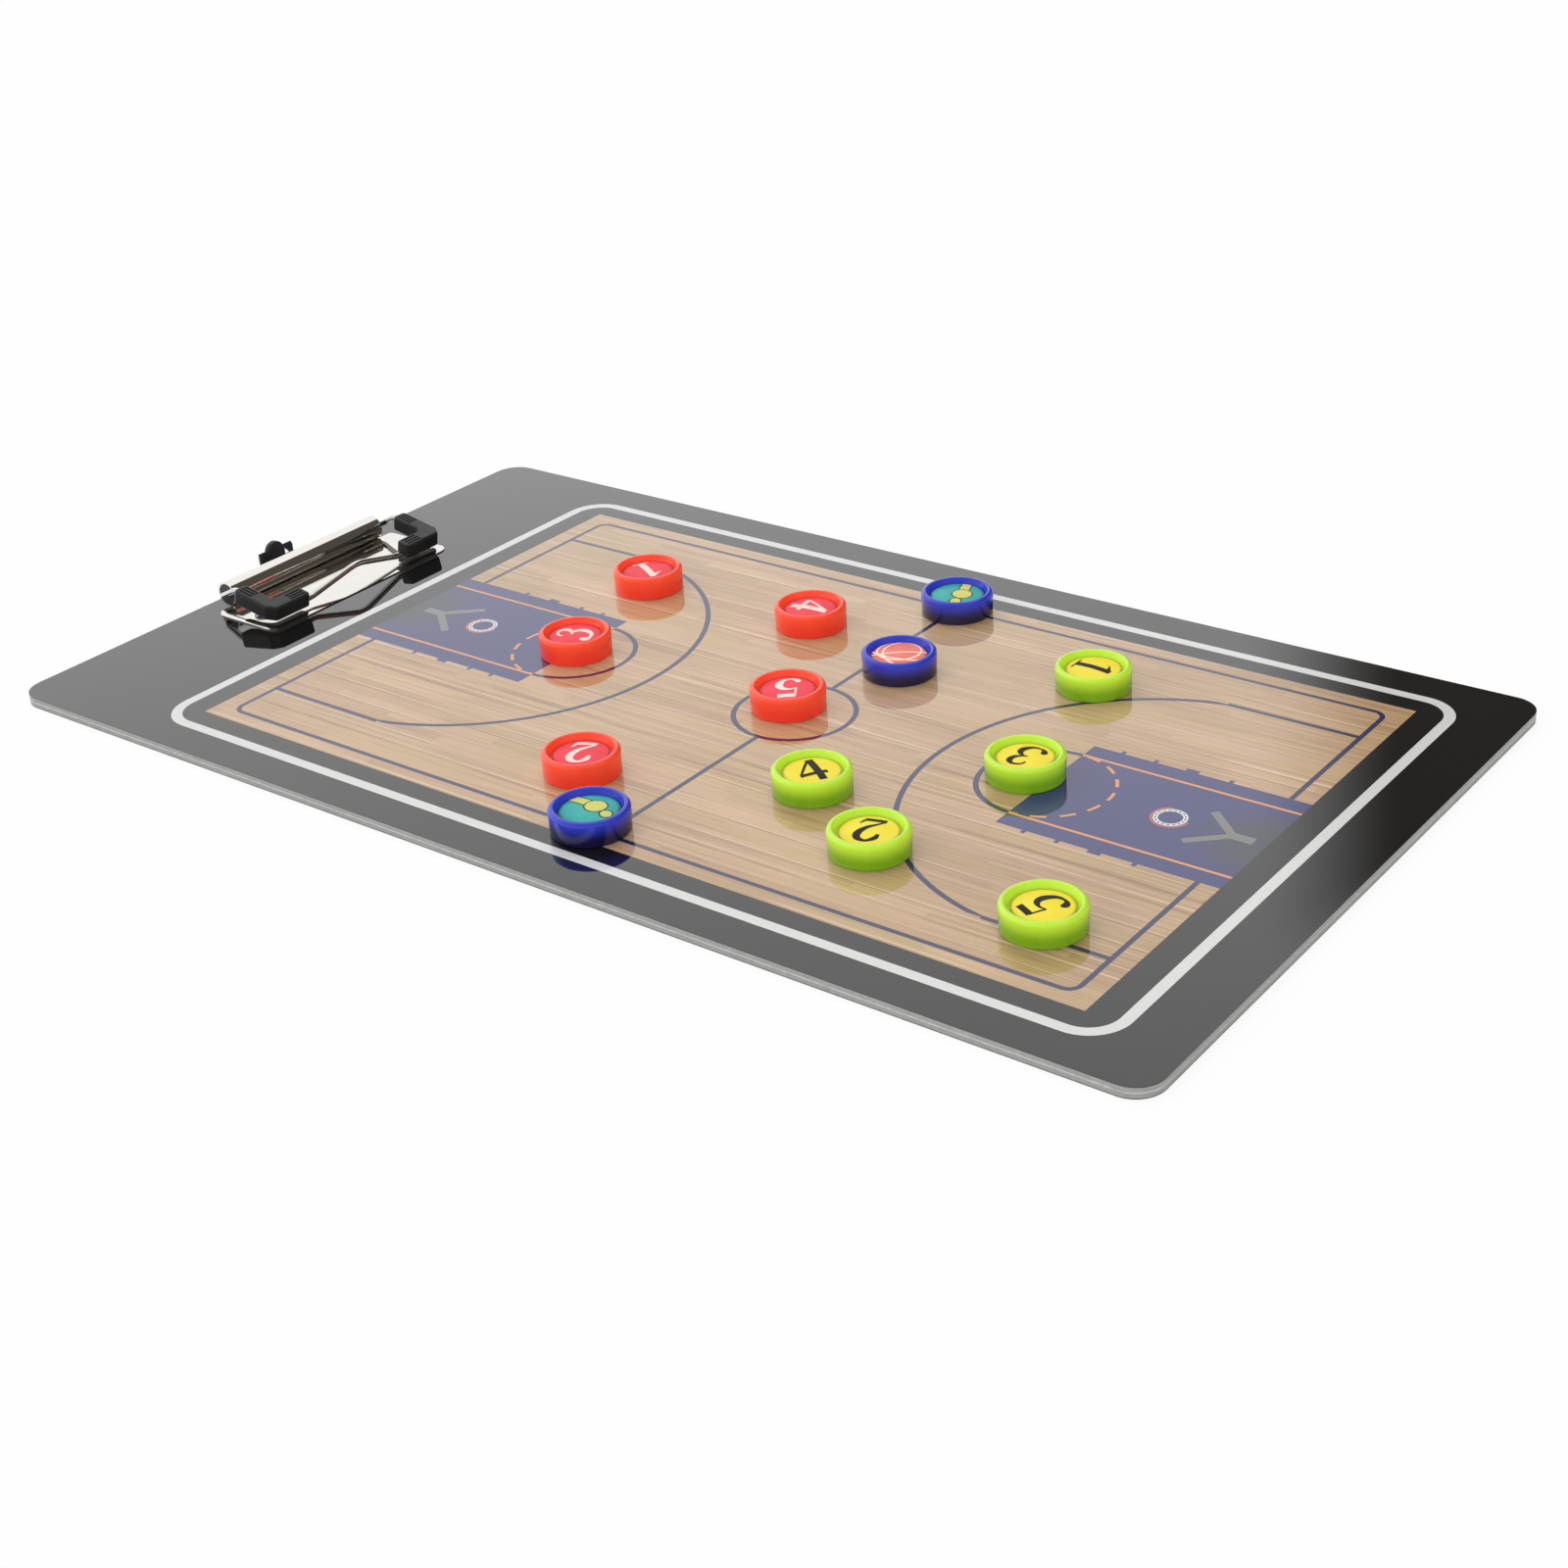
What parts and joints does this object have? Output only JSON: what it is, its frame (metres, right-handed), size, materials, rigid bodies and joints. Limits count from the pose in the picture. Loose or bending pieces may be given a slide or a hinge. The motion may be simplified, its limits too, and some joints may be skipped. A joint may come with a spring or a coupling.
{
  "type": "magnetic tactics board",
  "caption": "Flat printed coaching board with a sprung wire clip, a pull-out hanger and round magnet counters that lift off its steel-cored court face.",
  "frame": {"origin": "centre of the flat back face of the board", "axes": "+X along the board away from the clip, +Y across the board, +Z out of the printed face"},
  "size_m": [0.3665, 0.205, 0.0123],
  "materials": {
    "print_film": "glossy printed film, black outside the court",
    "core_sheet": "stiff grey sheet, saw-cut edge",
    "core_steel": "thin rolled steel sheet",
    "back_film": "fine-grained film",
    "chrome": "bright chrome plating",
    "rivet_steel": "bright zinc",
    "spring_steel": "drawn spring wire",
    "nylon": "black nylon",
    "black_plastic": "satin black moulding",
    "red_plastic": "glossy red moulding",
    "red_label": "domed crimson label",
    "green_plastic": "glossy neon green moulding",
    "yellow_label": "domed yellow label",
    "blue_plastic": "glossy royal blue moulding",
    "teal_label": "domed teal label",
    "salmon_label": "domed salmon label",
    "ferrite": "dark sintered disc"
  },
  "bodies": {
    "board": {"back_film": "back_film", "back_sheet": "core_sheet", "steel_sheet": "core_steel", "front_sheet": "core_sheet", "front_film": "print_film", "clip_base_plate": "chrome", "clip_rivets": "rivet_steel", "bush_near": "nylon", "bush_far": "nylon", "torsion_spring": "spring_steel"},
    "bail": {"bail_wire": "chrome", "grip_far": "black_plastic", "grip_near": "black_plastic"},
    "hanger": {"hanger": "black_plastic"},
    "counter_red_1": {"red_1_cup": "red_plastic", "red_1_label": "red_label", "red_1_disc": "ferrite"},
    "counter_red_2": {"red_2_cup": "red_plastic", "red_2_label": "red_label", "red_2_disc": "ferrite"},
    "counter_red_3": {"red_3_cup": "red_plastic", "red_3_label": "red_label", "red_3_disc": "ferrite"},
    "counter_red_4": {"red_4_cup": "red_plastic", "red_4_label": "red_label", "red_4_disc": "ferrite"},
    "counter_red_5": {"red_5_cup": "red_plastic", "red_5_label": "red_label", "red_5_disc": "ferrite"},
    "counter_green_1": {"green_1_cup": "green_plastic", "green_1_label": "yellow_label", "green_1_disc": "ferrite"},
    "counter_green_2": {"green_2_cup": "green_plastic", "green_2_label": "yellow_label", "green_2_disc": "ferrite"},
    "counter_green_3": {"green_3_cup": "green_plastic", "green_3_label": "yellow_label", "green_3_disc": "ferrite"},
    "counter_green_4": {"green_4_cup": "green_plastic", "green_4_label": "yellow_label", "green_4_disc": "ferrite"},
    "counter_green_5": {"green_5_cup": "green_plastic", "green_5_label": "yellow_label", "green_5_disc": "ferrite"},
    "counter_referee_1": {"referee_1_cup": "blue_plastic", "referee_1_label": "teal_label", "referee_1_disc": "ferrite"},
    "counter_referee_2": {"referee_2_cup": "blue_plastic", "referee_2_label": "teal_label", "referee_2_disc": "ferrite"},
    "counter_ball": {"ball_cup": "blue_plastic", "ball_label": "salmon_label", "ball_disc": "ferrite"}
  },
  "joints": [
    {"name": "bail_hinge", "type": "hinge", "parent": "board", "child": "bail", "pos_m": [-0.173, 0, 0.0071], "axis": [0, -1, 0], "range_deg": [0, 100], "stiffness_Nm_per_rad": 0.1, "springref_deg": -45.84},
    {"name": "hanger_slide", "type": "slide", "parent": "board", "child": "hanger", "axis": [-1, 0, 0], "range_m": [0, 0.0115]},
    {"name": "counter_red_1_lift", "type": "slide", "parent": "board", "child": "counter_red_1", "axis": [0, 0, 1], "range_m": [0, 0.04]},
    {"name": "counter_red_2_lift", "type": "slide", "parent": "board", "child": "counter_red_2", "axis": [0, 0, 1], "range_m": [0, 0.04]},
    {"name": "counter_red_3_lift", "type": "slide", "parent": "board", "child": "counter_red_3", "axis": [0, 0, 1], "range_m": [0, 0.04]},
    {"name": "counter_red_4_lift", "type": "slide", "parent": "board", "child": "counter_red_4", "axis": [0, 0, 1], "range_m": [0, 0.04]},
    {"name": "counter_red_5_lift", "type": "slide", "parent": "board", "child": "counter_red_5", "axis": [0, 0, 1], "range_m": [0, 0.04]},
    {"name": "counter_green_1_lift", "type": "slide", "parent": "board", "child": "counter_green_1", "axis": [0, 0, 1], "range_m": [0, 0.04]},
    {"name": "counter_green_2_lift", "type": "slide", "parent": "board", "child": "counter_green_2", "axis": [0, 0, 1], "range_m": [0, 0.04]},
    {"name": "counter_green_3_lift", "type": "slide", "parent": "board", "child": "counter_green_3", "axis": [0, 0, 1], "range_m": [0, 0.04]},
    {"name": "counter_green_4_lift", "type": "slide", "parent": "board", "child": "counter_green_4", "axis": [0, 0, 1], "range_m": [0, 0.04]},
    {"name": "counter_green_5_lift", "type": "slide", "parent": "board", "child": "counter_green_5", "axis": [0, 0, 1], "range_m": [0, 0.04]},
    {"name": "counter_referee_1_lift", "type": "slide", "parent": "board", "child": "counter_referee_1", "axis": [0, 0, 1], "range_m": [0, 0.04]},
    {"name": "counter_referee_2_lift", "type": "slide", "parent": "board", "child": "counter_referee_2", "axis": [0, 0, 1], "range_m": [0, 0.04]},
    {"name": "counter_ball_lift", "type": "slide", "parent": "board", "child": "counter_ball", "axis": [0, 0, 1], "range_m": [0, 0.04]}
  ]
}
